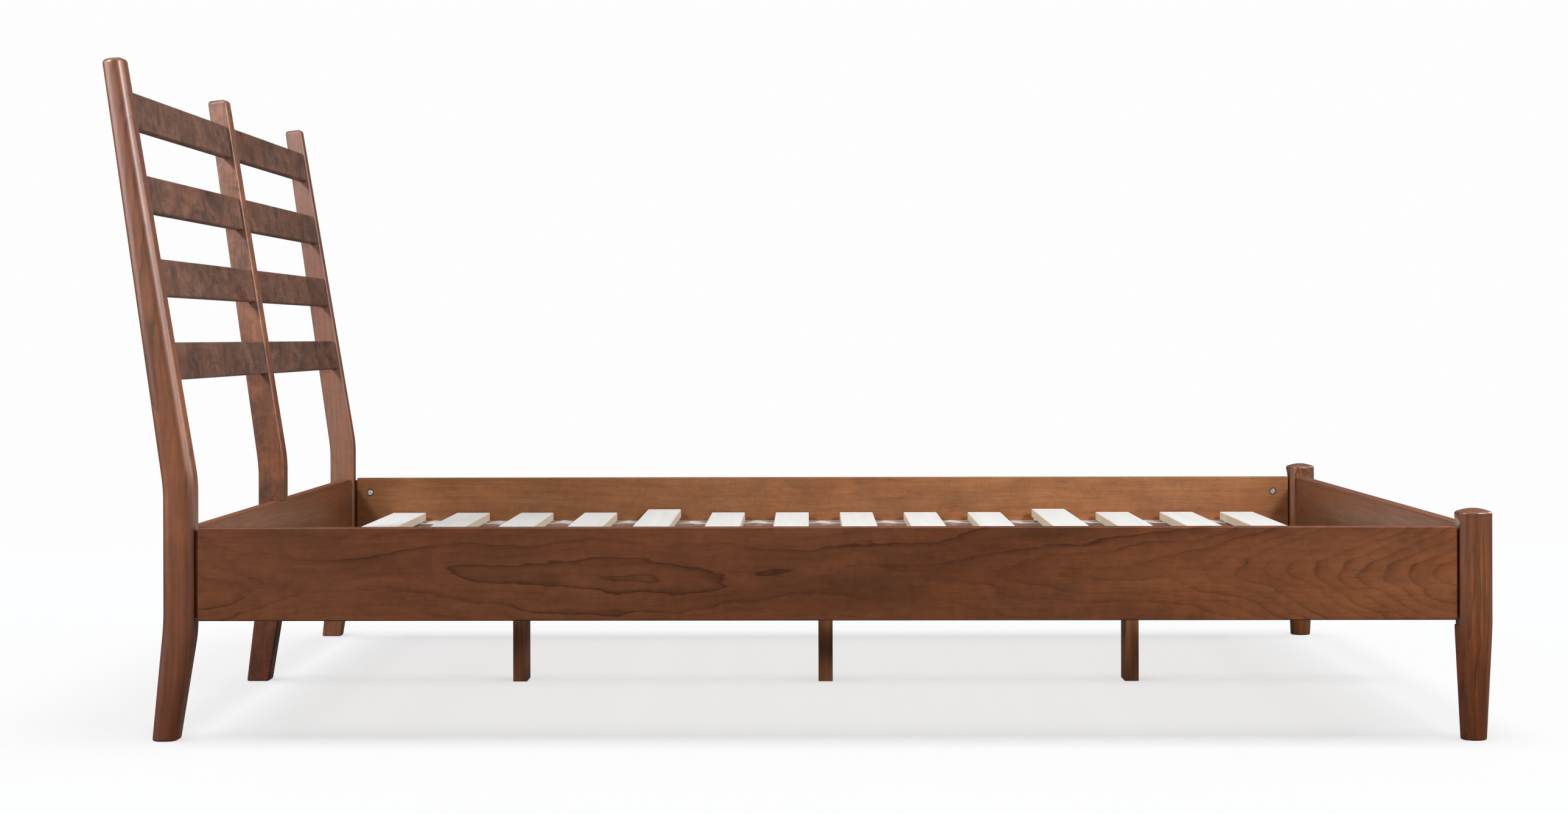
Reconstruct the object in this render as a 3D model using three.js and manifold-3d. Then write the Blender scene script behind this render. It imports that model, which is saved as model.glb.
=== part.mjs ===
// Low wooden platform bed frame for a queen mattress, with a ladder-back headboard.
// Millimetres. +Z is up and the floor is z = 0. +X runs from the headboard to the foot,
// Y runs across. The whole frame is centred on x = 0, y = 0.
// "left" is -Y and "right" is +Y, as seen from the foot looking at the headboard.

import * as THREE from "three";
import { mergeVertices } from "three/addons/utils/BufferGeometryUtils.js";
import Module from "manifold-3d";

const wasm = await Module();
wasm.setup();

// ---- driving dimensions --------------------------------------------------------------

const GAP = 0.3; // clearance left between pieces that touch

const SIDE_Y = 787.5; // centre line of side rails and of the outer posts
const BOARD_TOP = 345; // top edge of the side and foot rails
const BOARD_BOTTOM = 194;
const BOARD_THICK = 25;
const BOARD_EDGE = 2; // small rounding along the edges of the boards

const RAIL_HEAD_X = -970; // visible ends of the side rails
const RAIL_FOOT_X = 1066;
const TONGUE_INSET = 5; // the rail's end tongue is this much smaller all round

const POST_HEIGHT = { outer: 1108, middle: 1106.6 };
const POST_WIDTH = 45;
const POST_BEND_SOFT = 20; // half the length over which each bend is eased
const POST_TOP_TILT = 0.12; // the top end is square to the leaning post
const POST_TOP_ROUND = 7;
const POST_FOOT_ROUND = 3;
const POST_OUTER_ROUND = 17; // long edges on the outside of the bed
const POST_OUTER_SHARE = 0.46; // at most this share of the post's depth
const POST_INNER_ROUND = 4;
const CORNER_STEPS = 5;

// Front and back outlines of the headboard posts: upright at rail height, swept back above
// the upper bend and kicked back below the lower bend. topShift is reached at SHIFT_HEIGHT.
const SHIFT_HEIGHT = 1106;
const OUTER_FRONT = { railX: -975.8, floorShift: 28.6, topShift: 114.9, lower: 175, upper: 422 };
const OUTER_BACK = { railX: -1027.3, floorShift: 18.3, topShift: 97.9, lower: 190, upper: 408 };
const MIDDLE_FRONT = { railX: -979, floorShift: 29, topShift: 109.6, lower: 177, upper: 421 };
const MIDDLE_BACK = { railX: -1027.3, floorShift: 22.5, topShift: 95.8, lower: 190, upper: 408 };

const RUNG_COUNT = 4;
const RUNG_TOP_CENTRE = 1024.8; // height of the middle of the top rung
const RUNG_PITCH = 136.7;
const RUNG_TALL = 61.3;
const RUNG_THICK = 16;
const RUNG_SETBACK = 5; // behind the front of the outer posts
const RUNG_EDGE = 3;
const TENON_LONG = 12;
const TENON_THICK = 10;
const RUNG_TENON_TALL = 46;

const HEAD_RAIL_FRONT = -982.8;
const HEAD_RAIL_TOP = 343.5;
const HEAD_RAIL_THICK = 19;
const HEAD_RAIL_TENON_TALL = 126;

const FOOT_POST_X = 1094.5;
const FOOT_POST_RADIUS = 30;
const FOOT_POST_HEIGHT = 374.3;
const FOOT_POST_TAPER_TOP = 183;
const FOOT_POST_FLOOR_RADIUS = 21;
const FOOT_POST_SEGMENTS = 40;
const DOME_RISE = 5.2;
const DOME_RADIUS = 26;
const FLAT_DISTANCE = 25; // from the post's axis to the flat the rail butts against
const FLAT_BOTTOM = 185;
const FLAT_TOP = 346;
const FLAT_RUN_OUT = 31; // radius of the curve that ends the flat
const FOOT_TENON_LONG = 16;
const FOOT_TENON_THICK = 15;
const FOOT_TENON_TALL = 110;

const BOLT_RADIUS = 4;
const BOLT_LEVELS = { upper: 313.5, lower: 226.5 };
const BOLT_REACH = { head: [-1001.8, -933], foot: [1024, 1100] };
const NUT_X = { head: -941.6, foot: 1033 };
const NUT_RADIUS = 6;
const NUT_LENGTH = 16;
const NUT_HOLE_RADIUS = 7.5;
const NUT_HOLE_DEPTH = 20;

const SCREW_RADIUS = 2.5; // screw through the head rail into the middle post
const SCREW_Z = 319.3;
const SCREW_X = [-1018, -984.8];

const LEDGER_TOP = 251.7;
const LEDGER_TALL = 29.7;
const LEDGER_DEEP = 30;
const LEDGER_X = [-900, 998];

const CENTRE_RAIL_HALF = 20;
const CENTRE_RAIL_BOTTOM = 207;
const BRACKET_PLATE = 3;
const BRACKET_LONG = 40;
const BRACKET_TOP = 245;

const CENTRE_LEG_X = 51; // middle one; the others stand a spacing to each side
const CENTRE_LEG_SPACING = 579.5;
const CENTRE_LEG_THICK = 27;
const CENTRE_LEG_HALF = 32;
const CENTRE_LEG_TOP = 237;
const CENTRE_LEG_EDGE = 3;

const SLAT_COUNT = 14;
const FIRST_SLAT_X = -852.6;
const SLAT_PITCH = 139.35;
const LAST_SLAT_SHIFT = -8; // the slat at the foot sits closer to its neighbour
const SLAT_WIDE = 72;
const SLAT_THICK = 18;
const SLAT_HALF_LONG = 758;
const SLAT_UNDERSIDE = 252;
const SLAT_EDGE = 2;
const RAISED_SLATS = [5, 11]; // counted from the headboard
const SLAT_RAISE = 7; // pads glued under the raised slats
const PAD_LONG = 18;

const TAPE_Y = 690;
const TAPE_WIDE = 25;
const TAPE_THICK = 1.3;

// ---- materials -------------------------------------------------------------------------

const walnut = new THREE.MeshStandardMaterial({ color: 0x70452f, roughness: 0.45 });
const legWood = new THREE.MeshStandardMaterial({ color: 0x3d281d, roughness: 0.6 });
const slatWood = new THREE.MeshStandardMaterial({ color: 0xe9e4d8, roughness: 0.75 });
const supportWood = new THREE.MeshStandardMaterial({ color: 0xb98f76, roughness: 0.7 });
const steel = new THREE.MeshStandardMaterial({ color: 0xa7a9ab, roughness: 0.35, metalness: 1 });
const webbing = new THREE.MeshStandardMaterial({ color: 0xc9cac6, roughness: 0.9 });

// ---- shape helpers ---------------------------------------------------------------------

const group = new THREE.Group();
const headboard = new THREE.Group();
const sides = new THREE.Group();
const footEnd = new THREE.Group();
const slatBase = new THREE.Group();
group.add(headboard, sides, footEnd, slatBase);

const UNIT = [new THREE.Vector3(1, 0, 0), new THREE.Vector3(0, 1, 0), new THREE.Vector3(0, 0, 1)];
const SECTION_AXES = { X: [1, 2, 0], Y: [2, 0, 1], Z: [0, 1, 2] };

function roundedRectangle(wide, tall, radius) {
  const shape = new THREE.Shape();
  const a = wide / 2 - radius;
  const b = tall / 2 - radius;
  if (radius === 0) {
    shape.moveTo(-a, -b);
    shape.lineTo(a, -b);
    shape.lineTo(a, b);
    shape.lineTo(-a, b);
    return shape;
  }
  shape.absarc(a, b, radius, 0, Math.PI / 2, false);
  shape.absarc(-a, b, radius, Math.PI / 2, Math.PI, false);
  shape.absarc(-a, -b, radius, Math.PI, 1.5 * Math.PI, false);
  shape.absarc(a, -b, radius, 1.5 * Math.PI, 2 * Math.PI, false);
  return shape;
}

// A straight bar between two opposite corners, its long edges rounded.
function bar(along, low, high, radius = 0) {
  const [u, v, w] = SECTION_AXES[along];
  const size = high.map((value, i) => value - low[i]);
  const section = roundedRectangle(size[u], size[v], radius);
  const options = { depth: size[w], bevelEnabled: false, curveSegments: 2 };
  const geometry = new THREE.ExtrudeGeometry(section, options);
  geometry.translate(0, 0, -size[w] / 2);
  geometry.applyMatrix4(new THREE.Matrix4().makeBasis(UNIT[u], UNIT[v], UNIT[w]));
  const middle = high.map((value, i) => (value + low[i]) / 2);
  return geometry.translate(...middle);
}

// A round rod along one axis; `middle` is the centre of the rod.
function rod(along, middle, radius, length, segments = 16) {
  const geometry = new THREE.CylinderGeometry(radius, radius, length, segments);
  if (along === "X") geometry.rotateZ(-Math.PI / 2);
  if (along === "Z") geometry.rotateX(Math.PI / 2);
  return geometry.translate(...middle);
}

function solid(geometry) {
  const bare = geometry.clone();
  bare.deleteAttribute("normal");
  bare.deleteAttribute("uv");
  const merged = mergeVertices(bare, 1e-4);
  return new wasm.Manifold(new wasm.Mesh({
    numProp: 3,
    vertProperties: new Float32Array(merged.attributes.position.array),
    triVerts: new Uint32Array(merged.index.array),
  }));
}

// Adds one named piece to its assembly, its origin at the middle of its own box.
function add(assembly, name, body, material) {
  const surface = body.getMesh();
  const geometry = new THREE.BufferGeometry();
  const positions = new Float32Array(surface.vertProperties);
  geometry.setAttribute("position", new THREE.BufferAttribute(positions, 3));
  geometry.setIndex(new THREE.BufferAttribute(new Uint32Array(surface.triVerts), 1));
  geometry.computeVertexNormals();
  geometry.computeBoundingBox();
  const middle = geometry.boundingBox.getCenter(new THREE.Vector3()).round();
  geometry.translate(-middle.x, -middle.y, -middle.z);
  const mesh = new THREE.Mesh(geometry, material.clone());
  mesh.name = name;
  mesh.position.copy(middle);
  assembly.add(mesh);
}

// Surface through a stack of equal-length rings, closed by a fan at each end.
function loft(rings) {
  const count = rings[0].length;
  const points = rings.flat();
  const faces = [];
  for (let i = 0; i < rings.length - 1; i += 1) {
    for (let j = 0; j < count; j += 1) {
      const next = (j + 1) % count;
      const here = i * count;
      const above = here + count;
      faces.push(here + j, here + next, above + next);
      faces.push(here + j, above + next, above + j);
    }
  }
  const last = (rings.length - 1) * count;
  for (let j = 1; j < count - 1; j += 1) {
    faces.push(0, j + 1, j);
    faces.push(last, last + j, last + j + 1);
  }
  const geometry = new THREE.BufferGeometry();
  geometry.setAttribute("position", new THREE.Float32BufferAttribute(points.flat(), 3));
  geometry.setIndex(faces);
  return geometry;
}

// ---- headboard posts -------------------------------------------------------------------

function eased(t) {
  if (t <= -POST_BEND_SOFT) return 0;
  if (t >= POST_BEND_SOFT) return t;
  return (t + POST_BEND_SOFT) ** 2 / (4 * POST_BEND_SOFT);
}

function outlineX(line, z) {
  const below = eased(line.lower - z) / line.lower;
  const above = eased(z - line.upper) / (SHIFT_HEIGHT - line.upper);
  return line.railX - line.floorShift * below - line.topShift * above;
}

// One section of a post. `inset` shrinks it for the rounded ends.
function postRing({ front, back, y, outward }, z, inset) {
  const depth = outlineX(front, z) - outlineX(back, z);
  const tilt = POST_TOP_TILT * Math.max(0, z - back.upper) / (SHIFT_HEIGHT - back.upper);
  const outer = Math.min(POST_OUTER_ROUND, depth * POST_OUTER_SHARE);
  const ring = [];
  for (let corner = 0; corner < 4; corner += 1) {
    const sideX = corner === 0 || corner === 3 ? 1 : -1;
    const sideY = corner < 2 ? 1 : -1;
    const round = Math.max(1, (sideY === outward ? outer : POST_INNER_ROUND) - inset);
    const u0 = sideX * (depth / 2 - inset - round);
    const v0 = sideY * (POST_WIDTH / 2 - inset - round);
    for (let step = 0; step <= CORNER_STEPS; step += 1) {
      const angle = (corner + step / CORNER_STEPS) * Math.PI / 2;
      const u = u0 + round * Math.cos(angle);
      const v = v0 + round * Math.sin(angle);
      const level = z + tilt * u;
      const rear = outlineX(back, level);
      const share = (u + depth / 2) / depth;
      ring.push([rear + share * (outlineX(front, level) - rear), y + v, level]);
    }
  }
  return ring;
}

function postBody(post) {
  const rings = [];
  for (let i = 0; i < 2; i += 1) {
    const turn = (i / 2) * Math.PI / 2;
    const inset = POST_FOOT_ROUND * (1 - Math.sin(turn));
    rings.push(postRing(post, POST_FOOT_ROUND * (1 - Math.cos(turn)), inset));
  }
  rings.push(postRing(post, POST_FOOT_ROUND, 0));
  rings.push(postRing(post, 78, 0));
  for (let z = 152; z <= 212; z += 10) rings.push(postRing(post, z, 0));
  rings.push(postRing(post, 300, 0));
  for (let z = 384; z <= 444; z += 10) rings.push(postRing(post, z, 0));
  for (const z of [600, 780, 960]) rings.push(postRing(post, z, 0));
  const topDepth = outlineX(post.front, post.height) - outlineX(post.back, post.height);
  const rise = POST_TOP_TILT * (topDepth / 2 - POST_TOP_ROUND);
  const shoulder = post.height - POST_TOP_ROUND - rise;
  for (let i = 0; i <= 4; i += 1) {
    const turn = (i / 4) * Math.PI / 2;
    const inset = POST_TOP_ROUND * (1 - Math.cos(turn));
    rings.push(postRing(post, shoulder + POST_TOP_ROUND * Math.sin(turn), inset));
  }
  return solid(loft(rings));
}

// ---- rungs, four in each bay, and the head rail across both bays --------------------------

const LEAN = Math.atan(OUTER_FRONT.topShift / (SHIFT_HEIGHT - OUTER_FRONT.upper));
const BAY_INNER = POST_WIDTH / 2;
const BAY_OUTER = SIDE_Y - POST_WIDTH / 2;

// A bar across one bay, given by its section and how far it runs past the posts' faces.
function acrossBay(side, thick, tall, past, radius) {
  const ends = [side * (BAY_INNER - past), side * (BAY_OUTER + past)].sort((a, b) => a - b);
  return bar("Y", [-thick / 2, ends[0], -tall / 2], [thick / 2, ends[1], tall / 2], radius);
}

function atRung(geometry, z) {
  const back = (RUNG_SETBACK + RUNG_THICK / 2) / Math.cos(LEAN);
  geometry.rotateY(-LEAN);
  return geometry.translate(outlineX(OUTER_FRONT, z) - back, 0, z);
}

const headRailX = HEAD_RAIL_FRONT - HEAD_RAIL_THICK / 2;
const headRailZ = (HEAD_RAIL_TOP + BOARD_BOTTOM) / 2;

// A bar along the head rail, the same distance to each side of the middle.
function headBar(halfLong, thick, tall, radius) {
  const low = [headRailX - thick / 2, -halfLong, headRailZ - tall / 2];
  const high = [headRailX + thick / 2, halfLong, headRailZ + tall / 2];
  return solid(bar("Y", low, high, radius));
}

const mortises = { "-1": [], "1": [] };
for (const side of [-1, 1]) {
  const sideName = side < 0 ? "left" : "right";
  for (let i = 0; i < RUNG_COUNT; i += 1) {
    const z = RUNG_TOP_CENTRE - i * RUNG_PITCH;
    const body = solid(atRung(acrossBay(side, RUNG_THICK, RUNG_TALL, -GAP, RUNG_EDGE), z));
    const tenon = acrossBay(side, TENON_THICK, RUNG_TENON_TALL, TENON_LONG, 0);
    const room = acrossBay(side, TENON_THICK + 2 * GAP, RUNG_TENON_TALL + 2 * GAP, TENON_LONG + GAP, 0);
    mortises[side].push(solid(atRung(room, z)));
    add(headboard, `rung_${i + 1}_${sideName}`, body.add(solid(atRung(tenon, z))), walnut);
  }
  mortises[side].push(headBar(BAY_OUTER + TENON_LONG + GAP, TENON_THICK + 2 * GAP, HEAD_RAIL_TENON_TALL + 2 * GAP, 0));
}

const screwLength = SCREW_X[1] - SCREW_X[0];
const screwMiddle = [(SCREW_X[0] + SCREW_X[1]) / 2, 0, SCREW_Z];
const screwRoomEnds = [SCREW_X[0] - GAP, HEAD_RAIL_FRONT + 5];
const screwRoomMiddle = [(screwRoomEnds[0] + screwRoomEnds[1]) / 2, 0, SCREW_Z];
const screwRoomLength = screwRoomEnds[1] - screwRoomEnds[0];
const screwRoom = solid(rod("X", screwRoomMiddle, SCREW_RADIUS + GAP, screwRoomLength));
add(headboard, "middle_post_screw", solid(rod("X", screwMiddle, SCREW_RADIUS, screwLength)), steel);

const headRailTall = HEAD_RAIL_TOP - BOARD_BOTTOM;
const headBoard = headBar(BAY_OUTER - GAP, HEAD_RAIL_THICK, headRailTall, BOARD_EDGE);
const headTenons = headBar(BAY_OUTER + TENON_LONG, TENON_THICK, HEAD_RAIL_TENON_TALL, 0);
add(headboard, "head_rail", headBoard.add(headTenons).subtract(screwRoom), walnut);

function boltHole(end, y, z) {
  const [from, to] = BOLT_REACH[end];
  return solid(rod("X", [(from + to) / 2, y, z], BOLT_RADIUS + GAP, to - from + 2 * GAP));
}

for (const side of [-1, 1]) {
  const outline = { front: OUTER_FRONT, back: OUTER_BACK, height: POST_HEIGHT.outer };
  let post = postBody({ ...outline, y: side * SIDE_Y, outward: side });
  for (const room of mortises[side]) post = post.subtract(room);
  for (const z of Object.values(BOLT_LEVELS)) post = post.subtract(boltHole("head", side * SIDE_Y, z));
  add(headboard, side < 0 ? "head_post_left" : "head_post_right", post, walnut);
}

// The middle post is notched for the head rail, which runs past its front.
const notchLow = [headRailX - HEAD_RAIL_THICK / 2 - GAP, -POST_WIDTH, BOARD_BOTTOM - GAP];
const notchHigh = [MIDDLE_FRONT.railX + 10, POST_WIDTH, HEAD_RAIL_TOP + GAP];
const middleOutline = { front: MIDDLE_FRONT, back: MIDDLE_BACK, height: POST_HEIGHT.middle };
let middlePost = postBody({ ...middleOutline, y: 0, outward: 0 });
middlePost = middlePost.subtract(solid(bar("Y", notchLow, notchHigh)));
const middleRooms = [...mortises[-1], ...mortises[1]].filter((room) => room.boundingBox().min[2] > HEAD_RAIL_TOP);
for (const room of [...middleRooms, screwRoom]) middlePost = middlePost.subtract(room);
add(headboard, "head_post_middle", middlePost, walnut);

// ---- side rails, with the bolts and barrel nuts that hold them to the posts ----------------

const tongueHead = OUTER_FRONT.railX + GAP;
const tongueFoot = FOOT_POST_X - FLAT_DISTANCE - GAP;
for (const side of [-1, 1]) {
  const sideName = side < 0 ? "left" : "right";
  const y = side * SIDE_Y;
  const half = BOARD_THICK / 2;
  const face = y - side * half; // the inner face, towards the mattress
  const low = [RAIL_HEAD_X, y - half, BOARD_BOTTOM];
  const high = [RAIL_FOOT_X, y + half, BOARD_TOP];
  const tongueLow = [tongueHead, y - half + TONGUE_INSET, BOARD_BOTTOM + TONGUE_INSET];
  const tongueHigh = [tongueFoot, y + half - TONGUE_INSET, BOARD_TOP - TONGUE_INSET];
  let rail = solid(bar("X", low, high, BOARD_EDGE)).add(solid(bar("X", tongueLow, tongueHigh)));
  for (const end of ["head", "foot"]) {
    for (const [level, z] of Object.entries(BOLT_LEVELS)) {
      const [from, to] = BOLT_REACH[end];
      const bolt = solid(rod("X", [(from + to) / 2, y, z], BOLT_RADIUS, to - from));
      add(sides, `hanger_bolt_${end}_${sideName}_${level}`, bolt, steel);
      rail = rail.subtract(boltHole(end, y, z));
      const pocketY = face + side * (NUT_HOLE_DEPTH / 2 - 2);
      const pocket = rod("Y", [NUT_X[end], pocketY, z], NUT_HOLE_RADIUS, NUT_HOLE_DEPTH + 4, 20);
      rail = rail.subtract(solid(pocket));
      const nutY = face + side * (1 + NUT_LENGTH / 2);
      const nut = solid(rod("Y", [NUT_X[end], nutY, z], NUT_RADIUS, NUT_LENGTH, 20));
      add(sides, `barrel_nut_${end}_${sideName}_${level}`, nut.subtract(boltHole(end, y, z)), steel);
    }
  }
  add(sides, `side_rail_${sideName}`, rail, walnut);

  const ledgerLow = [LEDGER_X[0], face - side * GAP, LEDGER_TOP - LEDGER_TALL];
  const ledgerHigh = [LEDGER_X[1], face - side * (GAP + LEDGER_DEEP), LEDGER_TOP];
  const ledgerY = [ledgerLow[1], ledgerHigh[1]].sort((a, b) => a - b);
  ledgerLow[1] = ledgerY[0];
  ledgerHigh[1] = ledgerY[1];
  add(slatBase, `ledger_${sideName}`, solid(bar("X", ledgerLow, ledgerHigh, 1)), supportWood);
}

// ---- foot posts and foot rail ---------------------------------------------------------------

function footPostProfile() {
  const points = [new THREE.Vector2(0, 0)];
  for (let i = 0; i <= 2; i += 1) {
    const turn = (i / 2) * Math.PI / 2;
    const r = FOOT_POST_FLOOR_RADIUS - 2.5 * (1 - Math.sin(turn));
    points.push(new THREE.Vector2(r, 2.5 * (1 - Math.cos(turn))));
  }
  points.push(new THREE.Vector2(FOOT_POST_RADIUS - 0.6, FOOT_POST_TAPER_TOP - 14));
  points.push(new THREE.Vector2(FOOT_POST_RADIUS, FOOT_POST_TAPER_TOP + 6));
  const rim = FOOT_POST_RADIUS - DOME_RADIUS;
  const rimZ = FOOT_POST_HEIGHT - DOME_RISE;
  for (let i = 0; i <= 3; i += 1) {
    const turn = (i / 3) * Math.PI / 2 * 0.82;
    const r = DOME_RADIUS + rim * Math.cos(turn);
    points.push(new THREE.Vector2(r, rimZ - rim + rim * Math.sin(turn)));
  }
  for (let i = 2; i >= 1; i -= 1) {
    const r = (DOME_RADIUS * i) / 3;
    points.push(new THREE.Vector2(r, FOOT_POST_HEIGHT - DOME_RISE * (r / DOME_RADIUS) ** 2));
  }
  points.push(new THREE.Vector2(0, FOOT_POST_HEIGHT));
  return points;
}

// Removes one flat: a straight cut that ends in the curve left by a round cutter.
function flatCutter() {
  const reach = FOOT_POST_RADIUS + 10;
  const far = -FLAT_DISTANCE - FLAT_RUN_OUT;
  const straight = bar("Z", [far, -reach, FLAT_BOTTOM], [-FLAT_DISTANCE, reach, FLAT_TOP]);
  const curve = rod("Y", [far, 0, FLAT_TOP], FLAT_RUN_OUT, 2 * reach, 64);
  return solid(straight).add(solid(curve));
}

const flatCut = flatCutter();
const footTenonRoom = FOOT_TENON_LONG + GAP;
const footFace = SIDE_Y - FLAT_DISTANCE;
const boardMiddleZ = (BOARD_TOP + BOARD_BOTTOM) / 2;

function footBar(halfLong, thick, tall, radius) {
  const low = [FOOT_POST_X - thick / 2, -halfLong, boardMiddleZ - tall / 2];
  const high = [FOOT_POST_X + thick / 2, halfLong, boardMiddleZ + tall / 2];
  return solid(bar("Y", low, high, radius));
}

const footRoomThick = FOOT_TENON_THICK + 2 * GAP;
const footRoomTall = FOOT_TENON_TALL + 2 * GAP;
const footRoom = footBar(footFace + footTenonRoom, footRoomThick, footRoomTall, 0);
for (const side of [-1, 1]) {
  const y = side * SIDE_Y;
  const turned = new THREE.LatheGeometry(footPostProfile(), FOOT_POST_SEGMENTS);
  turned.rotateX(Math.PI / 2);
  turned.translate(FOOT_POST_X, y, 0);
  let post = solid(turned).subtract(flatCut.translate([FOOT_POST_X, y, 0]));
  const inwardCut = flatCut.rotate([0, 0, side > 0 ? 90 : -90]);
  post = post.subtract(inwardCut.translate([FOOT_POST_X, y, 0]));
  post = post.subtract(footRoom);
  for (const z of Object.values(BOLT_LEVELS)) post = post.subtract(boltHole("foot", y, z));
  add(footEnd, side < 0 ? "foot_post_left" : "foot_post_right", post, walnut);
}

const footBoard = footBar(footFace - GAP, BOARD_THICK, BOARD_TOP - BOARD_BOTTOM, BOARD_EDGE);
const footTenons = footBar(footFace + FOOT_TENON_LONG, FOOT_TENON_THICK, FOOT_TENON_TALL, 0);
add(footEnd, "foot_rail", footBoard.add(footTenons), walnut);

// ---- centre rail, its end brackets and its legs ---------------------------------------------

const centreHeadX = HEAD_RAIL_FRONT + GAP;
const centreFootX = FOOT_POST_X - BOARD_THICK / 2 - GAP;
const centreRailLow = [centreHeadX + BRACKET_PLATE + GAP, -CENTRE_RAIL_HALF, CENTRE_RAIL_BOTTOM];
const centreRailHigh = [centreFootX - BRACKET_PLATE - GAP, CENTRE_RAIL_HALF, LEDGER_TOP];
add(slatBase, "centre_rail", solid(bar("X", centreRailLow, centreRailHigh, 1)), supportWood);

// A stirrup open at the top: bottom plate, two cheeks and an end plate against the frame.
function bracket(plateX, inward) {
  const outerHalf = CENTRE_RAIL_HALF + GAP + BRACKET_PLATE;
  const floor = CENTRE_RAIL_BOTTOM - GAP - BRACKET_PLATE;
  const openX = plateX + inward * BRACKET_LONG;
  const xs = [plateX, openX].sort((a, b) => a - b);
  const whole = bar("Z", [xs[0], -outerHalf, floor], [xs[1], outerHalf, BRACKET_TOP]);
  const cuts = [plateX + inward * BRACKET_PLATE, openX + inward * 5].sort((a, b) => a - b);
  const cutHalf = CENTRE_RAIL_HALF + GAP;
  const low = [cuts[0], -cutHalf, floor + BRACKET_PLATE];
  return solid(whole).subtract(solid(bar("Z", low, [cuts[1], cutHalf, BRACKET_TOP + 5])));
}

add(slatBase, "centre_bracket_head", bracket(centreHeadX, 1), steel);
add(slatBase, "centre_bracket_foot", bracket(centreFootX, -1), steel);

for (let i = 0; i < 3; i += 1) {
  const x = CENTRE_LEG_X + (i - 1) * CENTRE_LEG_SPACING;
  const half = CENTRE_LEG_THICK / 2;
  const low = [x - half, -CENTRE_LEG_HALF, 0];
  const high = [x + half, CENTRE_LEG_HALF, CENTRE_LEG_TOP];
  const slotHalf = CENTRE_RAIL_HALF + GAP;
  const slotLow = [x - CENTRE_LEG_THICK, -slotHalf, CENTRE_RAIL_BOTTOM - GAP];
  const slotHigh = [x + CENTRE_LEG_THICK, slotHalf, CENTRE_LEG_TOP + 5];
  const leg = solid(bar("Z", low, high, CENTRE_LEG_EDGE));
  add(slatBase, `centre_leg_${i + 1}`, leg.subtract(solid(bar("Z", slotLow, slotHigh))), legWood);
}

// ---- slats and the tapes that space them ------------------------------------------------------

const lastSlatX = FIRST_SLAT_X + (SLAT_COUNT - 1) * SLAT_PITCH + LAST_SLAT_SHIFT;
for (let i = 0; i < SLAT_COUNT; i += 1) {
  const x = Math.min(FIRST_SLAT_X + i * SLAT_PITCH, lastSlatX);
  const raised = RAISED_SLATS.includes(i + 1);
  const under = SLAT_UNDERSIDE + (raised ? SLAT_RAISE : 0);
  const low = [x - SLAT_WIDE / 2, -SLAT_HALF_LONG, under];
  const high = [x + SLAT_WIDE / 2, SLAT_HALF_LONG, under + SLAT_THICK];
  let slat = solid(bar("Y", low, high, SLAT_EDGE));
  if (raised) {
    const padInner = SLAT_HALF_LONG - PAD_LONG;
    const spans = [[-SLAT_HALF_LONG, -padInner], [-CENTRE_RAIL_HALF, CENTRE_RAIL_HALF], [padInner, SLAT_HALF_LONG]];
    for (const [from, to] of spans) {
      const padLow = [x - SLAT_WIDE / 2 + 4, from, SLAT_UNDERSIDE];
      const padHigh = [x + SLAT_WIDE / 2 - 4, to, under + 1];
      slat = slat.add(solid(bar("Y", padLow, padHigh)));
    }
  }
  add(slatBase, `slat_${String(i + 1).padStart(2, "0")}`, slat, slatWood);
}

const tapeX = [FIRST_SLAT_X - SLAT_WIDE / 2 + 6, lastSlatX + SLAT_WIDE / 2 - 6];
for (const side of [-1, 1]) {
  const y = side * TAPE_Y;
  const top = SLAT_UNDERSIDE - GAP;
  const low = [tapeX[0], y - TAPE_WIDE / 2, top - TAPE_THICK];
  const high = [tapeX[1], y + TAPE_WIDE / 2, top];
  add(slatBase, side < 0 ? "slat_tape_left" : "slat_tape_right", solid(bar("X", low, high)), webbing);
}

export default group;
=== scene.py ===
"""Looks of a low walnut platform bed with a ladder-back headboard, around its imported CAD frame."""

import math
import random

import bmesh
import bpy
from mathutils import Matrix, Vector


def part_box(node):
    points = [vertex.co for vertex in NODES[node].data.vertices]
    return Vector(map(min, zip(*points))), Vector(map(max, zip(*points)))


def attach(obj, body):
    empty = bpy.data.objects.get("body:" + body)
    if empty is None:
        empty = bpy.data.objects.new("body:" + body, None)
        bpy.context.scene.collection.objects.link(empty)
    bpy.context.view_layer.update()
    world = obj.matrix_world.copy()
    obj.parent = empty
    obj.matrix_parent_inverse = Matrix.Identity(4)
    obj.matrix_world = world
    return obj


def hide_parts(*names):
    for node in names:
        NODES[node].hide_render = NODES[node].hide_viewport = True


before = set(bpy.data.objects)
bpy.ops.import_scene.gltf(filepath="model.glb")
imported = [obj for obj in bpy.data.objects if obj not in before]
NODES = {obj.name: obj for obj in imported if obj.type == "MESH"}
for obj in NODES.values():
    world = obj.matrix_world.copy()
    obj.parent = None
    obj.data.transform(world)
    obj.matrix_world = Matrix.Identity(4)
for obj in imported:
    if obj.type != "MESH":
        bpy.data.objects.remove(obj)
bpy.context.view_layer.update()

scene = bpy.context.scene
scene.view_settings.view_transform = "Standard"
dice = random.Random(7)


def somewhere(name):
    """A place of its own in the noise for each piece."""
    own = random.Random(name)
    return tuple(own.uniform(-20, 20) for _ in range(3))


# ---- small node-graph builder ---------------------------------------------------------


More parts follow.
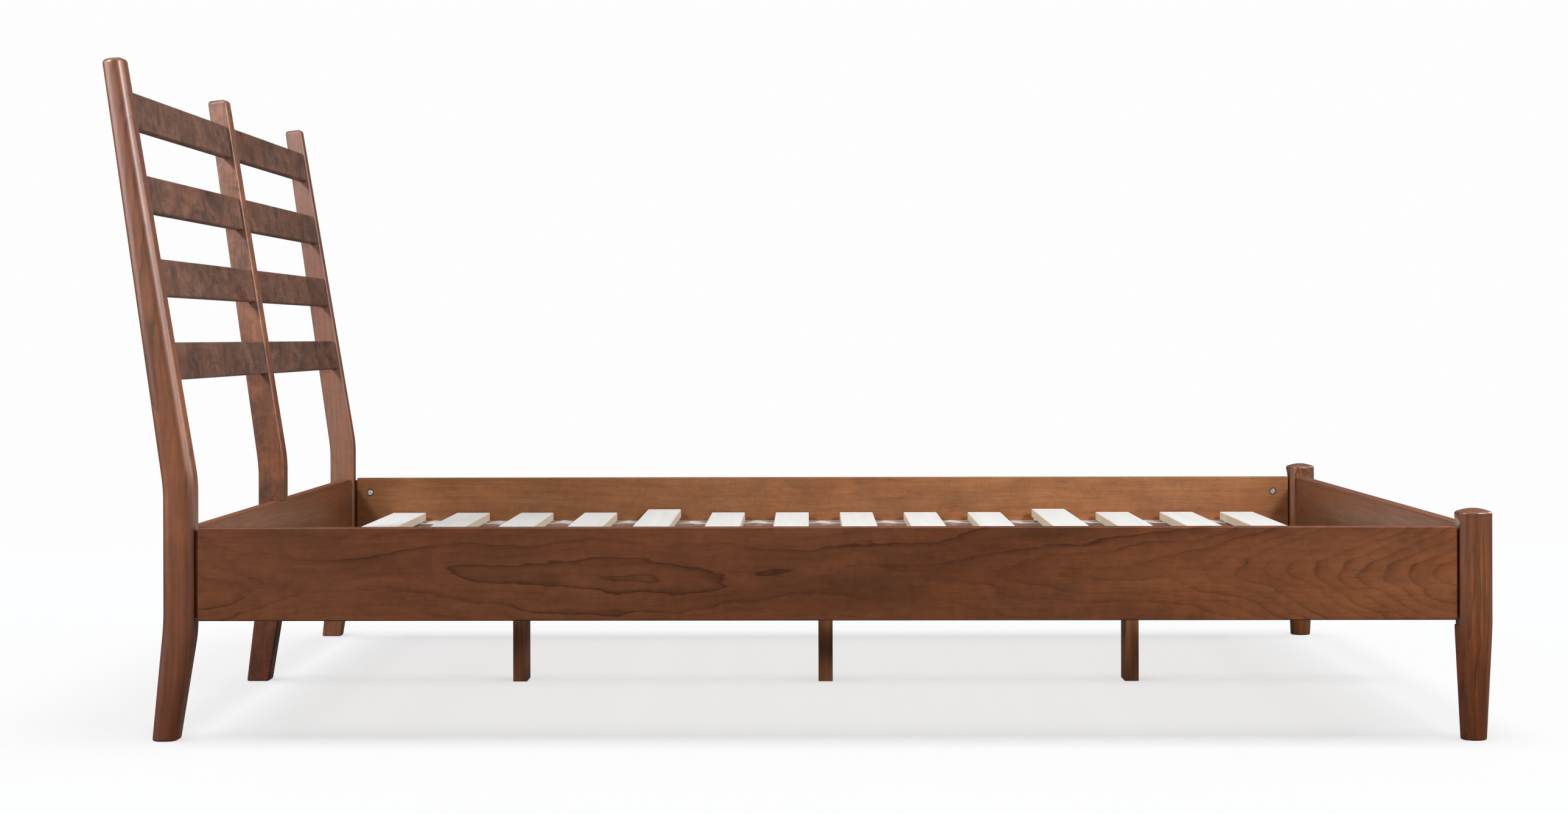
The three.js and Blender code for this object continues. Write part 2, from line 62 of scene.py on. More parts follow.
class Graph:
    """Builds one material's node tree; values may be numbers, tuples or sockets."""

    def __init__(self, name):
        self.material = bpy.data.materials.new(name)
        self.material.use_nodes = True
        self.tree = self.material.node_tree
        self.tree.nodes.clear()
        self.output = self.tree.nodes.new("ShaderNodeOutputMaterial")

    def put(self, socket, value):
        if isinstance(value, bpy.types.NodeSocket):
            self.tree.links.new(value, socket)
        else:
            socket.default_value = value

    def node(self, kind, inputs=None, **settings):
        made = self.tree.nodes.new(kind)
        for key, value in settings.items():
            setattr(made, key, value)
        for key, value in (inputs or {}).items():
            self.put(made.inputs[key], value)
        return made

    def math(self, operation, a, b=0.0, clamp=False):
        made = self.node("ShaderNodeMath", {0: a, 1: b}, operation=operation, use_clamp=clamp)
        return made.outputs[0]

    def vector(self, operation, a, b):
        return self.node("ShaderNodeVectorMath", {0: a, 1: b}, operation=operation).outputs[0]

    def noise(self, vector, scale=1.0, detail=2.0, roughness=0.5, distortion=0.0):
        inputs = {
            "Vector": vector,
            "Scale": scale,
            "Detail": detail,
            "Roughness": roughness,
            "Distortion": distortion,
        }
        return self.node("ShaderNodeTexNoise", inputs).outputs["Fac"]

    def remap(self, value, low, high, to_low=0.0, to_high=1.0, smooth=False):
        inputs = {
            "Value": value,
            "From Min": low,
            "From Max": high,
            "To Min": to_low,
            "To Max": to_high,
        }
        kind = "SMOOTHSTEP" if smooth else "LINEAR"
        return self.node("ShaderNodeMapRange", inputs, interpolation_type=kind, clamp=True).outputs[0]

    def ramp(self, value, stops, spread="LINEAR"):
        made = self.node("ShaderNodeValToRGB", {"Fac": value})
        made.color_ramp.interpolation = spread
        marks = made.color_ramp.elements
        while len(marks) < len(stops):
            marks.new(0.5)
        for mark, (place, level) in zip(marks, stops):
            mark.position = place
            mark.color = (level, level, level, 1.0) if isinstance(level, float) else (*level, 1.0)
        return made.outputs["Color"]

    def coordinates(self, kind):
        return self.node("ShaderNodeTexCoord").outputs[kind]

    def split(self, vector):
        return self.node("ShaderNodeSeparateXYZ", {0: vector}).outputs

    def stretched(self, vector, scales, detail=2.0, roughness=0.5, distortion=0.0):
        """Noise drawn out by its own scale along each axis."""
        return self.noise(self.vector("MULTIPLY", vector, scales), 1.0, detail, roughness, distortion)

    def mix(self, factor, a, b, blend="MIX"):
        made = self.node("ShaderNodeMix", data_type="RGBA", blend_type=blend)
        self.put(made.inputs["Factor"], factor)
        self.put(made.inputs["A"], (*a, 1.0) if isinstance(a, tuple) else a)
        self.put(made.inputs["B"], (*b, 1.0) if isinstance(b, tuple) else b)
        return made.outputs["Result"]

    def shade(self, base, roughness, bump=None, bump_distance=0.0002, bump_strength=0.5, **uniform):
        shader = self.node("ShaderNodeBsdfPrincipled")
        self.put(shader.inputs["Base Color"], base)
        self.put(shader.inputs["Roughness"], roughness)
        for key, value in uniform.items():
            shader.inputs[key.replace("_", " ")].default_value = value
        if bump is not None:
            inputs = {"Height": bump, "Distance": bump_distance, "Strength": bump_strength}
            self.put(shader.inputs["Normal"], self.node("ShaderNodeBump", inputs).outputs["Normal"])
        self.tree.links.new(shader.outputs[0], self.output.inputs["Surface"])
        return self.material


def grain_space(g, along, shift):
    """Object coordinates turned so that the first axis runs along the grain."""
    parts = g.split(g.coordinates("Object"))
    order = {"X": (0, 1, 2), "Y": (1, 0, 2), "Z": (2, 0, 1)}[along]
    turned = g.node("ShaderNodeCombineXYZ", {i: parts[k] for i, k in enumerate(order)}).outputs[0]
    return g.vector("ADD", turned, shift)


# ---- materials -------------------------------------------------------------------------

WALNUT_LIGHT = (0.235, 0.084, 0.033)
WALNUT_MID = (0.142, 0.046, 0.018)
WALNUT_RED = (0.200, 0.056, 0.019)
WALNUT_DARK = (0.060, 0.019, 0.006)
WALNUT_PORE = (0.030, 0.010, 0.005)

# Darkness across one growth ring, from its pale early wood to its dark edge.
BAND = [(0.0, 0.10), (0.40, 0.10), (0.74, 0.50), (0.90, 1.0), (1.0, 0.10)]
# Painted light: a post's faces turned to +X are lightened between these heights.
ABOVE_RAILS = (0.36, 0.50)  # heights between which a post's `front_painted_light` tone comes in


def tinted(colour, tint):
    return tuple(c * t for c, t in zip(colour, tint))


def walnut(
    name,
    along,
    pith,
    tint=(1.0, 1.0, 1.0),
    depth=1.0,
    slope=62.0,
    flames=10.0,
    gloss=0.10,
    figure=0.10,
    streaks=0.26,
    wild=1.0,
    relief=0.4,
    sheen=0.27,
    drift=None,
    tones=None,
    front_painted_light=None,
):
    """Oiled walnut: growth rings around a pith line, drifting along the piece into flames.

    `pith` gives that line's two coordinates in the order of grain_space's last two axes.
    `figure` is the strength of the curly mottling, `streaks` that of the fine lines along
    the grain, `wild` how far the growth rings waver, and `relief` the depth of the pores.
    `gloss` and `sheen` are the lacquer's strength and roughness.
    `drift` is (start, end, [(share, rings), ...]) along the piece, or None for a noise.
    `tones` is (start, end, [(share, colour), ...]): the wood's tone along the piece, with painted
    light and shade in it.
    `front_painted_light` is painted light: a paler tone on faces turned to +X, above the height of
    the rails.
    """
    g = Graph(name)
    still = grain_space(g, along, (0.0, 0.0, 0.0))
    space = g.vector("ADD", still, somewhere(name))
    parts = g.split(still)

    wander = g.stretched(space, (2.0, 1.5, 1.5))
    sway = g.stretched(space, (2.6, 10.0, 10.0), 2.5)
    ragged = g.stretched(space, (9.0, 44.0, 44.0), 3.0, 0.55)
    flick = g.stretched(space, (8.0, 26.0, 26.0), 2.0, 0.55)
    off_b = g.math("SUBTRACT", parts[1], pith[0])
    off_c = g.math("SUBTRACT", parts[2], pith[1])
    off_c = g.math("ADD", off_c, g.remap(wander, 0.2, 0.8, -0.03, 0.03))
    squares = g.math("ADD", g.math("MULTIPLY", off_b, off_b), g.math("MULTIPLY", off_c, off_c))
    radius = g.math("SQRT", squares)
    rise = g.math("MULTIPLY", radius, slope)
    if drift:
        start, end, marks = drift
        most = max(rings for _, rings in marks)
        share = g.remap(g.math("ADD", parts[0], g.remap(ragged, 0.2, 0.8, -0.012, 0.012)), start, end)
        curve = g.ramp(share, [(place, rings / most) for place, rings in marks], "B_SPLINE")
        rise = g.math("ADD", rise, g.math("MULTIPLY", curve, most))
    else:
        slow = g.stretched(space, (1.5, 1.2, 1.2), 1.5, 0.4)
        rise = g.math("ADD", rise, g.math("MULTIPLY", slow, flames))
    rise = g.math("ADD", rise, g.math("MULTIPLY", sway, 2.3 * wild))
    rise = g.math("ADD", rise, g.math("MULTIPLY", ragged, 1.3 * wild))
    rise = g.math("ADD", rise, g.math("MULTIPLY", flick, 1.0))

    band = g.ramp(g.math("FRACT", rise), BAND)
    number = g.math("FLOOR", rise)
    own = g.node("ShaderNodeTexWhiteNoise", {"W": number}, noise_dimensions="1D").outputs["Value"]
    fade = g.remap(g.stretched(space, (2.6, 14.0, 14.0)), 0.34, 0.62, 0.25, 1.0)
    line = g.math("MULTIPLY", g.math("MULTIPLY", band, g.remap(own, 0.0, 1.0, 0.3, 1.0)), fade)

    blotch = g.remap(g.stretched(space, (2.0, 9.0, 9.0), 3.0, 0.55), 0.32, 0.68)
    red = g.remap(g.stretched(space, (3.9, 15.0, 15.0)), 0.35, 0.65)
    streak = g.stretched(space, (5.0, 170.0, 170.0), 3.0, 0.6)
    fibre = g.stretched(space, (22.0, 850.0, 850.0), 2.0, 0.6)
    pores = g.remap(fibre, 0.60, 0.72)

    base = g.mix(blotch, tinted(WALNUT_MID, tint), tinted(WALNUT_LIGHT, tint))
    base = g.mix(g.math("MULTIPLY", red, 0.45), base, tinted(WALNUT_RED, tint))
    base = g.mix(g.remap(streak, 0.34, 0.70, 0.0, streaks), base, tinted(WALNUT_DARK, tint))
    base = g.mix(g.math("MULTIPLY", line, depth), base, tinted(WALNUT_DARK, tint))
    curl = g.stretched(space, (30.0, 24.0, 24.0), 2.0, 0.55, 2.2)
    cloud = g.stretched(space, (9.0, 17.0, 17.0), 3.0, 0.6, 1.2)
    mottle = g.remap(g.math("ADD", g.math("MULTIPLY", curl, 0.6), cloud), 0.58, 1.02)
    dull = (1.0 - figure, 1.0 - 0.9 * figure, 1.0 - 0.75 * figure)
    bright = (1.0 + figure, 1.0 + 0.85 * figure, 1.0 + 0.7 * figure)
    base = g.mix(1.0, base, g.ramp(mottle, [(0.0, dull), (1.0, bright)]), "MULTIPLY")
    base = g.mix(g.math("MULTIPLY", pores, 0.38), base, WALNUT_PORE)
    # Painted light and shade along the piece, mixed into the wood's own tone.
    if tones:
        start, end, marks = tones
        uneven = g.math("ADD", parts[0], g.remap(blotch, 0.0, 1.0, -0.03, 0.03))
        base = g.mix(1.0, base, g.ramp(g.remap(uneven, start, end), marks, "EASE"), "MULTIPLY")
    # Painted light and highlight: faces turned to +X, above the rails, are made paler.
    if front_painted_light:
        facing = g.split(g.coordinates("Normal"))[0]
        share = g.math("MULTIPLY", g.remap(facing, 0.35, 0.85), g.remap(parts[0], *ABOVE_RAILS))
        base = g.mix(share, base, g.mix(1.0, base, front_painted_light, "MULTIPLY"))

    height = g.math("SUBTRACT", g.math("MULTIPLY", streak, 0.5), g.math("MULTIPLY", pores, 0.6))
    rough = g.remap(streak, 0.3, 0.7, 0.36, 0.48)
    lacquer = {"Coat_Weight": gloss, "Coat_Roughness": sheen, "Specular_IOR_Level": 0.22}
    return g.shade(base, rough, height, 0.00006, relief, **lacquer)


def slat_wood(name, shift):
    """Pale slat: nearly white top, warmer edges; the top's paleness beside the edges is partly
    painted light.
    """
    g = Graph(name)
    space = grain_space(g, "Y", shift)
    # Faces turned up take the pale top colour: partly painted light on the tops.
    up = g.split(g.coordinates("Normal"))[2]
    flat = g.remap(up, 0.35, 0.9)
    streak = g.stretched(space, (2.0, 70.0, 70.0), 3.0, 0.55)
    fibre = g.stretched(space, (14.0, 520.0, 520.0), 2.0, 0.6)
    saw = g.stretched(space, (240.0, 14.0, 60.0), 2.0, 0.6)
    top = g.mix(g.remap(streak, 0.3, 0.7), (0.725, 0.722, 0.700), (0.800, 0.800, 0.782))
    edge = g.mix(g.remap(streak, 0.3, 0.72), (0.86, 0.71, 0.52), (0.92, 0.80, 0.64))
    edge = g.mix(g.remap(saw, 0.5, 0.75, 0.0, 0.30), edge, (0.62, 0.47, 0.33))
    base = g.mix(flat, edge, top)
    base = g.mix(g.remap(fibre, 0.58, 0.72, 0.0, 0.16), base, (0.55, 0.50, 0.42))
    height = g.math("ADD", g.math("MULTIPLY", streak, 0.6), g.math("MULTIPLY", saw, 0.4))
    rough = g.remap(fibre, 0.3, 0.7, 0.62, 0.78)
    return g.shade(base, rough, height, Specular_IOR_Level=0.3)


def support_wood(name, shift):
    """Plain light brown wood of the ledgers and the centre rail."""
    g = Graph(name)
    space = grain_space(g, "X", shift)
    streak = g.stretched(space, (2.0, 90.0, 90.0), 3.0, 0.6)
    fibre = g.stretched(space, (20.0, 700.0, 700.0), 2.0, 0.6)
    base = g.mix(g.remap(streak, 0.3, 0.7), (0.40, 0.215, 0.145), (0.52, 0.31, 0.225))
    base = g.mix(g.remap(fibre, 0.58, 0.72, 0.0, 0.4), base, (0.25, 0.13, 0.085))
    return g.shade(base, g.remap(fibre, 0.3, 0.7, 0.5, 0.65), streak)


def leg_wood(name, shift):
    """Dark stained softwood of the centre legs."""
    g = Graph(name)
    space = grain_space(g, "Z", shift)
    streak = g.stretched(space, (5.0, 120.0, 120.0), 3.0, 0.6)
    fibre = g.stretched(space, (30.0, 800.0, 800.0), 2.0, 0.6)
    base = g.mix(g.remap(streak, 0.3, 0.7), (0.140, 0.048, 0.014), (0.245, 0.092, 0.027))
    base = g.mix(g.remap(fibre, 0.58, 0.72, 0.0, 0.5), base, (0.045, 0.018, 0.008))
    return g.shade(base, g.remap(streak, 0.3, 0.7, 0.42, 0.58), streak, Coat_Weight=0.1)


def zinc(name):
    """Zinc-plated steel with faint turning marks and dull patches."""
    g = Graph(name)
    place = g.coordinates("Object")
    patches = g.stretched(place, (160.0, 160.0, 160.0), 3.0, 0.6)
    marks = g.stretched(place, (2600.0, 300.0, 2600.0))
    base = g.mix(g.remap(patches, 0.3, 0.7), (0.50, 0.50, 0.49), (0.70, 0.70, 0.69))
    rough = g.remap(patches, 0.3, 0.7, 0.28, 0.46)
    return g.shade(base, rough, marks, 0.00005, 0.4, Metallic=1.0)


WARP_PER_METRE = 900
WEFT_PER_METRE = 700


def webbing(name):
    """Woven grey-white tape of crossing threads."""
    g = Graph(name)
    place = g.coordinates("Object")
    parts = g.split(place)
    warp = g.math("SINE", g.math("MULTIPLY", parts[1], 2 * math.pi * WARP_PER_METRE))
    weft = g.math("SINE", g.math("MULTIPLY", parts[0], 2 * math.pi * WEFT_PER_METRE))
    weave = g.math("MULTIPLY", warp, weft)
    soil = g.stretched(place, (30.0, 60.0, 60.0), 3.0, 0.6)
    base = g.mix(g.remap(soil, 0.3, 0.7), (0.42, 0.44, 0.46), (0.60, 0.615, 0.63))
    base = g.mix(g.remap(weave, -1.0, 1.0, 0.0, 0.25), base, (0.36, 0.37, 0.39))
    return g.shade(base, 0.75, weave, 0.0003, 0.6, Sheen_Weight=0.2, Sheen_Roughness=0.5)


# ---- CAD nodes: softened edges and materials ----------------------------------------------


def soften(obj, width, segments=2, angle=30.0):
    """Welds the seams left by the import, rounds the hard edges and evens the shading."""
    mesh = obj.data
    for layer in ("custom_normal", "sharp_edge", "sharp_face"):
        if layer in mesh.attributes:
            mesh.attributes.remove(mesh.attributes[layer])
    mesh.shade_smooth()
    weld = obj.modifiers.new("weld", "WELD")
    weld.merge_threshold = 0.00002
    if width:
        bevel = obj.modifiers.new("edges", "BEVEL")
        bevel.width = width
        bevel.segments = segments
        bevel.limit_method = "ANGLE"
        bevel.angle_limit = math.radians(angle)
        bevel.use_clamp_overlap = False
    even = obj.modifiers.new("shading", "WEIGHTED_NORMAL")
    even.mode = "FACE_AREA"
    even.weight = 60
    even.keep_sharp = False


def dress(name, material):
    obj = NODES[name]
    obj.data.materials.clear()
    obj.data.materials.append(material)


RAIL_ENDS = (-0.970, 1.066)  # the side rails' visible ends, head and foot

# Growth rings counted along the near side rail: loops near the head, flames at the foot.
NEAR_RAIL_FLAMES = (
    *RAIL_ENDS,
    [
        (0.0, 11.0),
        (0.10, 16.5),
        (0.32, 11.0),
        (0.47, 15.5),
        (0.68, 11.5),
        (0.80, 10.5),
        (0.90, 6.0),
        (1.0, 0.0),
    ],
)


def post_painted_light_and_shade(foot, shin, waist, top):
    """Painted light and shade of a headboard post, with its tone: at the floor, above it, at rail
    height and at the top.
    """
    return (0.0, 1.1, [(0.0, foot), (0.12, shin), (0.32, waist), (1.0, top)])


# Tints, tones and shades hold painted light and shade besides the wood's own colour: copies of the
# same walnut painted lighter or darker, paler bluer tops and faces as painted sheen, darker feet as
# painted shade.
HEAD_POSTS = {
    "head_post_left": {
        "gloss": 0.9,
        "depth": 1.15,
        "figure": 0.14,
        "wild": 1.2,
        "tones": post_painted_light_and_shade(
            (0.86, 0.66, 0.38),
            (0.95, 0.86, 0.68),
            (1.08, 1.04, 0.88),
            (0.84, 0.80, 0.84),
        ),
        "front_painted_light": (2.1, 2.1, 2.5),
    },
    "head_post_middle": {
        "gloss": 0.5,
        "depth": 0.7,
        "figure": 0.48,
        "wild": 1.6,
        "tones": post_painted_light_and_shade(
            (0.62, 0.54, 0.38),
            (0.66, 0.61, 0.52),
            (0.68, 0.68, 0.70),
            (1.24, 1.72, 2.95),
        ),
        "front_painted_light": (1.9, 1.7, 1.3),
    },
    "head_post_right": {
        "gloss": 0.5,
        "depth": 0.5,
        "figure": 0.12,
        "tones": post_painted_light_and_shade(
            (1.25, 1.45, 1.40),
            (1.35, 1.55, 1.80),
            (1.30, 1.68, 2.60),
            (1.24, 1.76, 3.10),
        ),
        "front_painted_light": (1.4, 1.2, 0.9),
    },
}
# Painted shade and light along the foot posts: darker towards the floor, paler and bluer higher up as
# painted sheen.
FOOT_POST_PAINTED_SHADE_AND_LIGHT = (
    0.0,
    0.38,
    [
        (0.0, (0.86, 0.68, 0.40)),
        (0.28, (1.02, 0.86, 0.60)),
        (0.62, (1.46, 1.46, 1.32)),
        (1.0, (1.10, 1.12, 1.25)),
    ],
)
# The far foot post's paler, bluer tint is painted light and sheen.
FOOT_POST_TINTS_AND_SHEEN = {"foot_post_left": (1.0, 1.0, 1.0), "foot_post_right": (1.30, 1.60, 1.95)}
# Painted light along the near rail: darker in the middle, lighter towards the foot end.
NEAR_RAIL_PAINTED_LIGHT = (
    *RAIL_ENDS,
    [
        (0.0, (0.80, 0.78, 0.74)),
        (0.35, (0.73, 0.71, 0.66)),
        (0.60, (0.76, 0.74, 0.70)),
        (1.0, (1.08, 1.08, 1.06)),
    ],
)
# Painted shade in the far rail's corner at the head end, painted light towards the foot end.
FAR_RAIL_PAINTED_SHADE_AND_LIGHT = (
    *RAIL_ENDS,
    [
        (0.0, (0.66, 0.61, 0.56)),
        (0.06, (1.06, 1.05, 1.03)),
        (0.45, (0.94, 0.94, 0.93)),
        (0.95, (1.19, 1.19, 1.20)),
        (1.0, (0.98, 0.96, 0.93)),
    ],
)
# Painted light and shade per rung: upper rungs lighter, lower ones and the far bay darker. The rungs'
# bluish tint is painted sheen.
RUNG_PAINTED_LIGHT_AND_SHADE = {"1": 1.12, "2": 1.14, "3": 1.04, "4": 0.90}  # counted from the top
RUNG_TINT_AND_SHEEN = (1.15, 1.74, 3.10)
FAR_BAY_PAINTED_SHADE = 0.97
# The foot rail's paler, bluer tint is painted sheen; the head rail's lighter tint is painted light.
CROSS_RAIL_TINTS_AND_SHEEN = {"head_rail": (1.08, 1.08, 1.05), "foot_rail": (1.12, 1.26, 1.46)}
CROSS_RAIL_DEPTHS = {"head_rail": 0.35, "foot_rail": 0.45}

# Each piece's pith line is set near its own middle, so that the rings meet its faces as
# long grain and flames.
for name in sorted(NODES):
    low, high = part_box(name)
    middle = (low + high) / 2
    wood = name + "_wood"
    if name.startswith("head_post"):
        pith = (-1.045, middle.y - 0.030)
        looks = {"slope": 95.0, "streaks": 0.36, "relief": 0.15, "sheen": 0.36, **HEAD_POSTS[name]}
        dress(name, walnut(wood, "Z", pith, **looks))
        soften(NODES[name], 0.0006)
    elif name.startswith("foot_post"):
        pith = (middle.x - 0.01, middle.y - 0.022)
        looks = {"slope": 130.0, "gloss": 0.6, "streaks": 0.75, "wild": 1.8, "depth": 1.5}
        tint = FOOT_POST_TINTS_AND_SHEEN[name]
        dress(name, walnut(wood, "Z", pith, tint, tones=FOOT_POST_PAINTED_SHADE_AND_LIGHT, **looks))
        soften(NODES[name], 0.0005)
    elif name.startswith("rung"):
        pith = (middle.x + 0.03, middle.z)
        # Painted light, shade and sheen for this rung.
        shade = RUNG_PAINTED_LIGHT_AND_SHADE[name.split("_")[1]] * (1.0 if name.endswith("left") else FAR_BAY_PAINTED_SHADE)
        tint = tuple(part * shade for part in RUNG_TINT_AND_SHEEN)
        looks = {"slope": 60.0, "depth": 0.5, "figure": 0.46, "streaks": 0.10, "wild": 2.4}
        dress(name, walnut(wood, "Y", pith, tint, **looks))
        soften(NODES[name], 0.0008)
    elif name in CROSS_RAIL_TINTS_AND_SHEEN:
        pith = (middle.x + 0.03, middle.z)
        looks = {"depth": CROSS_RAIL_DEPTHS[name], "streaks": 0.18}
        dress(name, walnut(wood, "Y", pith, CROSS_RAIL_TINTS_AND_SHEEN[name], **looks))
        soften(NODES[name], 0.001)
    elif name == "side_rail_left":
        looks = {"depth": 1.1, "figure": 0.18, "wild": 1.45}
        looks.update(drift=NEAR_RAIL_FLAMES, tones=NEAR_RAIL_PAINTED_LIGHT)
        dress(name, walnut(wood, "X", (-0.815, 0.272), **looks))
        soften(NODES[name], 0.0008)
    elif name == "side_rail_right":
        looks = {"depth": 0.30, "figure": 0.16, "tones": FAR_RAIL_PAINTED_SHADE_AND_LIGHT}
        # The far rail's tint paints it much paler than the near rail: painted light and sheen.
        dress(name, walnut(wood, "X", (0.755, 0.260), (1.46, 1.80, 1.86), **looks))
        soften(NODES[name], 0.0008)
    elif name.startswith("slat_tape"):
        continue  # replaced by the ribbons below
    elif name.startswith("slat_"):
        dress(name, slat_wood(wood, somewhere(wood)))
        soften(NODES[name], 0.0006)
    elif name.startswith("ledger") or name == "centre_rail":
        dress(name, support_wood(wood, somewhere(wood)))
        soften(NODES[name], 0.0008)
    elif name.startswith("centre_leg"):
        dress(name, leg_wood(wood, somewhere(wood)))
        soften(NODES[name], 0.0008)
    else:
        dress(name, zinc(name + "_zinc"))
        soften(NODES[name], 0.0003)


# ---- the tapes that space the slats: woven ribbons that bow up between them ------------------


# The tape's section, in shares of its width and thickness: flat, with thicker selvedges.
SELVEDGE = [(-0.5, 1.0), (-0.42, 1.25), (-0.34, 1.0)]
TAPE_SECTION = [(-0.5, 0.0), *SELVEDGE, *[(-u, v) for u, v in reversed(SELVEDGE)], (0.5, 0.0)]
TAPE_BODY = 0.8  # the flat part's share of the CAD tape's thickness
TAPE_STEPS = 12  # steps of the ribbon over each gap
TAPE_BOW = (0.001, 0.004)
TAPE_TWIST = (0.05, 0.10)
TAPE_HEAD_TWIST = 0.22  # added towards the headboard
TAPE_SAG = 0.0015


def ribbon(name, points, wide, thick):
    """A flat strip through points (x, y, z, twist)."""
    mesh = bmesh.new()
    rings = []
    for x, y, z, twist in points:
        ring = []
        for u, v in TAPE_SECTION:
            across = u * wide
            up = v * thick * TAPE_BODY + across * twist
            ring.append(mesh.verts.new((x, y + across, z + up)))
        rings.append(ring)
    count = len(TAPE_SECTION)
    for a, b in zip(rings, rings[1:]):
        for j in range(count):
            k = (j + 1) % count
            mesh.faces.new((a[j], b[j], b[k], a[k]))
    mesh.faces.new(rings[0])
    mesh.faces.new(list(reversed(rings[-1])))
    bmesh.ops.recalc_face_normals(mesh, faces=mesh.faces)
    data = bpy.data.meshes.new(name)
    mesh.to_mesh(data)
    mesh.free()
    data.shade_smooth()
    obj = bpy.data.objects.new(name, data)
    scene.collection.objects.link(obj)
    return obj


slat_names = [n for n in NODES if n.startswith("slat_") and "tape" not in n]
slat_boxes = sorted((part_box(n) for n in slat_names), key=lambda box: box[0].x)
for side in ("left", "right"):
    node = "slat_tape_" + side
    low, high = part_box(node)
    middle_y = (low.y + high.y) / 2
    points = [(low.x, middle_y, low.z, 0.0)]
    for before, after in zip(slat_boxes, slat_boxes[1:]):
        start = before[1].x
        span = after[0].x - start
        bow = dice.uniform(*TAPE_BOW)
        toward = (len(slat_boxes) - slat_boxes.index(after)) / len(slat_boxes)
        twist = dice.uniform(*TAPE_TWIST) + TAPE_HEAD_TWIST * toward ** 2
        for i in range(TAPE_STEPS + 1):
            share = i / TAPE_STEPS
            swell = math.sin(math.pi * share) ** 2
            sag = TAPE_SAG * math.sin(2.0 * math.pi * share)
            height = low.z + (bow + sag) * swell
            points.append((start + span * share, middle_y, height, twist * swell))
    points.append((high.x, middle_y, low.z, 0.0))
    tape = ribbon("tape_" + side, points, high.y - low.y, high.z - low.z)
    tape.data.materials.append(webbing("tape_" + side + "_weave"))
    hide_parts(node)
    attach(tape, "root")


# ---- camera -----------------------------------------------------------------------------------

CAMERA_PLACE = (0.0212, -5.25695, 0.65274)
CAMERA_TURN = 0.525  # degrees about the vertical
CAMERA_ROLL = -0.114  # degrees about the line of sight

camera_data = bpy.data.cameras.new("camera")
camera_data.sensor_width = 36.0
camera_data.lens = 63.30
camera_data.shift_y = -0.0447
camera_data.clip_end = 100.0
camera = bpy.data.objects.new("camera", camera_data)
scene.collection.objects.link(camera)
turn = Matrix.Rotation(math.radians(CAMERA_TURN), 4, "Z")
level = Matrix.Rotation(math.radians(90.0), 4, "X")
roll = Matrix.Rotation(math.radians(CAMERA_ROLL), 4, "Z")
camera.matrix_world = Matrix.Translation(CAMERA_PLACE) @ turn @ level @ roll
scene.camera = camera


# ---- studio -----------------------------------------------------------------------------------


def softbox(name, place, target, wide, tall, power):
    data = bpy.data.lights.new(name, "AREA")
    data.shape = "RECTANGLE"
    data.size = wide
    data.size_y = tall
    data.energy = power
    light = bpy.data.objects.new(name, data)
    scene.collection.objects.link(light)
    light.location = place
    aim = Vector(target) - Vector(place)
    light.rotation_euler = aim.to_track_quat("-Z", "Y").to_euler()
    light.visible_camera = False
    return light


# Place, aim, width, height and power of each lamp.
keys = [
    softbox("left_box", (-2.35, -2.2, 2.3), (-0.1, 0.0, 0.4), 0.55, 0.55, 105.0),
    softbox("right_box", (2.40, -2.2, 2.3), (0.1, 0.0, 0.4), 0.55, 0.55, 110.0),
]
# Reflector cards: seen only in the lacquer's gloss.
cards = [
    softbox("left_panel", (-3.2, -1.5, 1.30), (-1.0, -0.8, 1.00), 2.2, 1.5, 52.0),
    softbox("right_panel", (3.2, -1.2, 2.35), (-1.0, -0.6, 0.95), 2.0, 1.6, 76.0),
    softbox("back_panel", (3.4, 1.5, 1.60), (-1.0, -0.6, 0.95), 2.2, 1.6, 48.0),
    softbox("post_sheen", (-2.3, -5.6, 1.70), (-1.0, -0.4, 1.00), 2.6, 1.6, 20.0),
]
for card in cards:
    card.visible_diffuse = False

ceiling_data = bpy.data.lights.new("ceiling", "SUN")
ceiling_data.energy = 1.10
ceiling_data.angle = math.radians(37.5)
ceiling = bpy.data.objects.new("ceiling", ceiling_data)
scene.collection.objects.link(ceiling)

WHITE = (1.0, 1.0, 1.0, 1.0)
AHEAD_FALL = -0.2
PAPER_STRENGTH = 0.985
FLOOR_HALF = 3.2
FLOOR_PALE = ((0.712, 0.726, 0.742), (0.730, 0.744, 0.760))
FLOOR_GLOW = (0.575, 0.575, 0.575)
FLOOR_UNSEEN = (0.28, 0.275, 0.27)

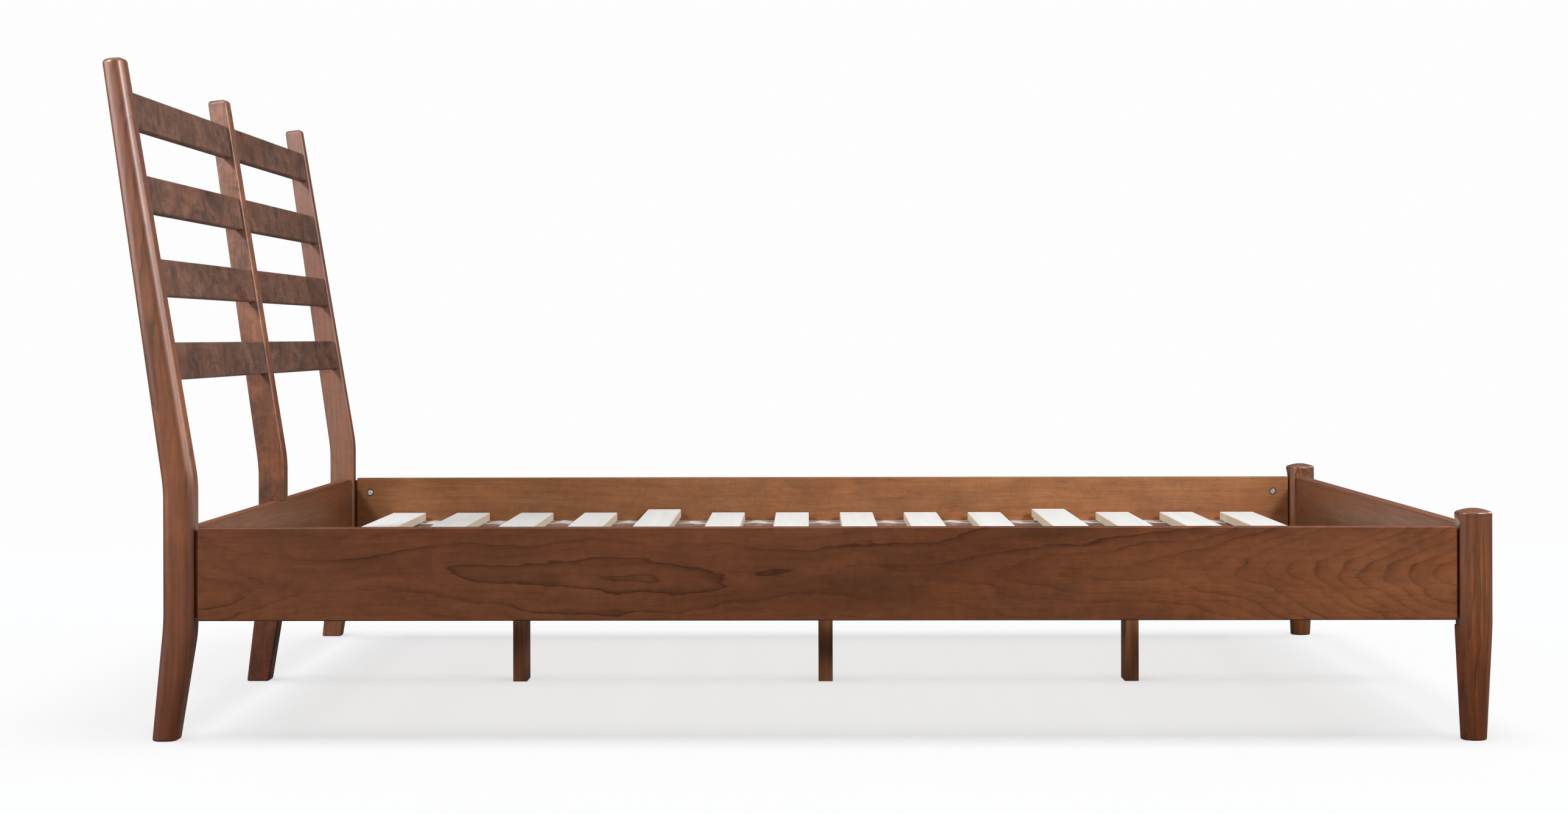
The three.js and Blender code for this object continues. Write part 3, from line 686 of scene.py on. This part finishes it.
# The room: darker low down and beyond the bed, brighter above and on the near side. The
# camera itself sees white paper.
world = bpy.data.worlds.new("studio")
scene.world = world
world.use_nodes = True
tree = world.node_tree
tree.nodes.clear()
aim = tree.nodes.new("ShaderNodeTexCoord")
split = tree.nodes.new("ShaderNodeSeparateXYZ")
tree.links.new(aim.outputs["Generated"], split.inputs[0])
height = tree.nodes.new("ShaderNodeMapRange")
for key, value in {"From Min": -0.15, "From Max": 0.25, "To Min": 0.04, "To Max": 0.22}.items():
    height.inputs[key].default_value = value
ahead = tree.nodes.new("ShaderNodeMath")
ahead.operation = "MULTIPLY_ADD"
ahead.inputs[1].default_value = AHEAD_FALL
tree.links.new(split.outputs[1], ahead.inputs[0])
tree.links.new(split.outputs[2], ahead.inputs[2])
tree.links.new(ahead.outputs[0], height.inputs["Value"])
sky = tree.nodes.new("ShaderNodeBackground")
sky.inputs["Color"].default_value = WHITE
tree.links.new(height.outputs[0], sky.inputs["Strength"])
paper = tree.nodes.new("ShaderNodeBackground")
paper.inputs["Color"].default_value = WHITE
paper.inputs["Strength"].default_value = PAPER_STRENGTH
path = tree.nodes.new("ShaderNodeLightPath")
choose = tree.nodes.new("ShaderNodeMixShader")
out = tree.nodes.new("ShaderNodeOutputWorld")
tree.links.new(path.outputs["Is Camera Ray"], choose.inputs[0])
tree.links.new(sky.outputs[0], choose.inputs[1])
tree.links.new(paper.outputs[0], choose.inputs[2])
tree.links.new(choose.outputs[0], out.inputs["Surface"])

floor_mesh = bmesh.new()
bmesh.ops.create_grid(floor_mesh, x_segments=8, y_segments=8, size=FLOOR_HALF)
floor_data = bpy.data.meshes.new("floor")
floor_mesh.to_mesh(floor_data)
floor_mesh.free()
floor = bpy.data.objects.new("floor", floor_data)
scene.collection.objects.link(floor)

# Floor paper: the camera sees it pale and partly self-lit, other rays see it plain.
g = Graph("floor_paper")
mottle = g.noise(g.coordinates("Object"), 3.0, 2.0)
pale = g.mix(mottle, *FLOOR_PALE)
seen = g.node("ShaderNodeLightPath").outputs["Is Camera Ray"]
lit = g.mix(seen, (0.0, 0.0, 0.0), FLOOR_GLOW)
floor_data.materials.append(g.shade(g.mix(seen, FLOOR_UNSEEN, pale), 0.9, Specular_IOR_Level=0.0))
paper_shader = floor_data.materials[0].node_tree.nodes["Principled BSDF"]
g.put(paper_shader.inputs["Emission Color"], lit)
paper_shader.inputs["Emission Strength"].default_value = 1.0

# The boxes and cards leave the floor out; it is lit by the ceiling and the room.
unlit = bpy.data.collections.new("unlit_by_boxes")
unlit.objects.link(floor)
for item in unlit.collection_objects:
    item.light_linking.link_state = "EXCLUDE"
for box in keys + cards:
    box.light_linking.receiver_collection = unlit
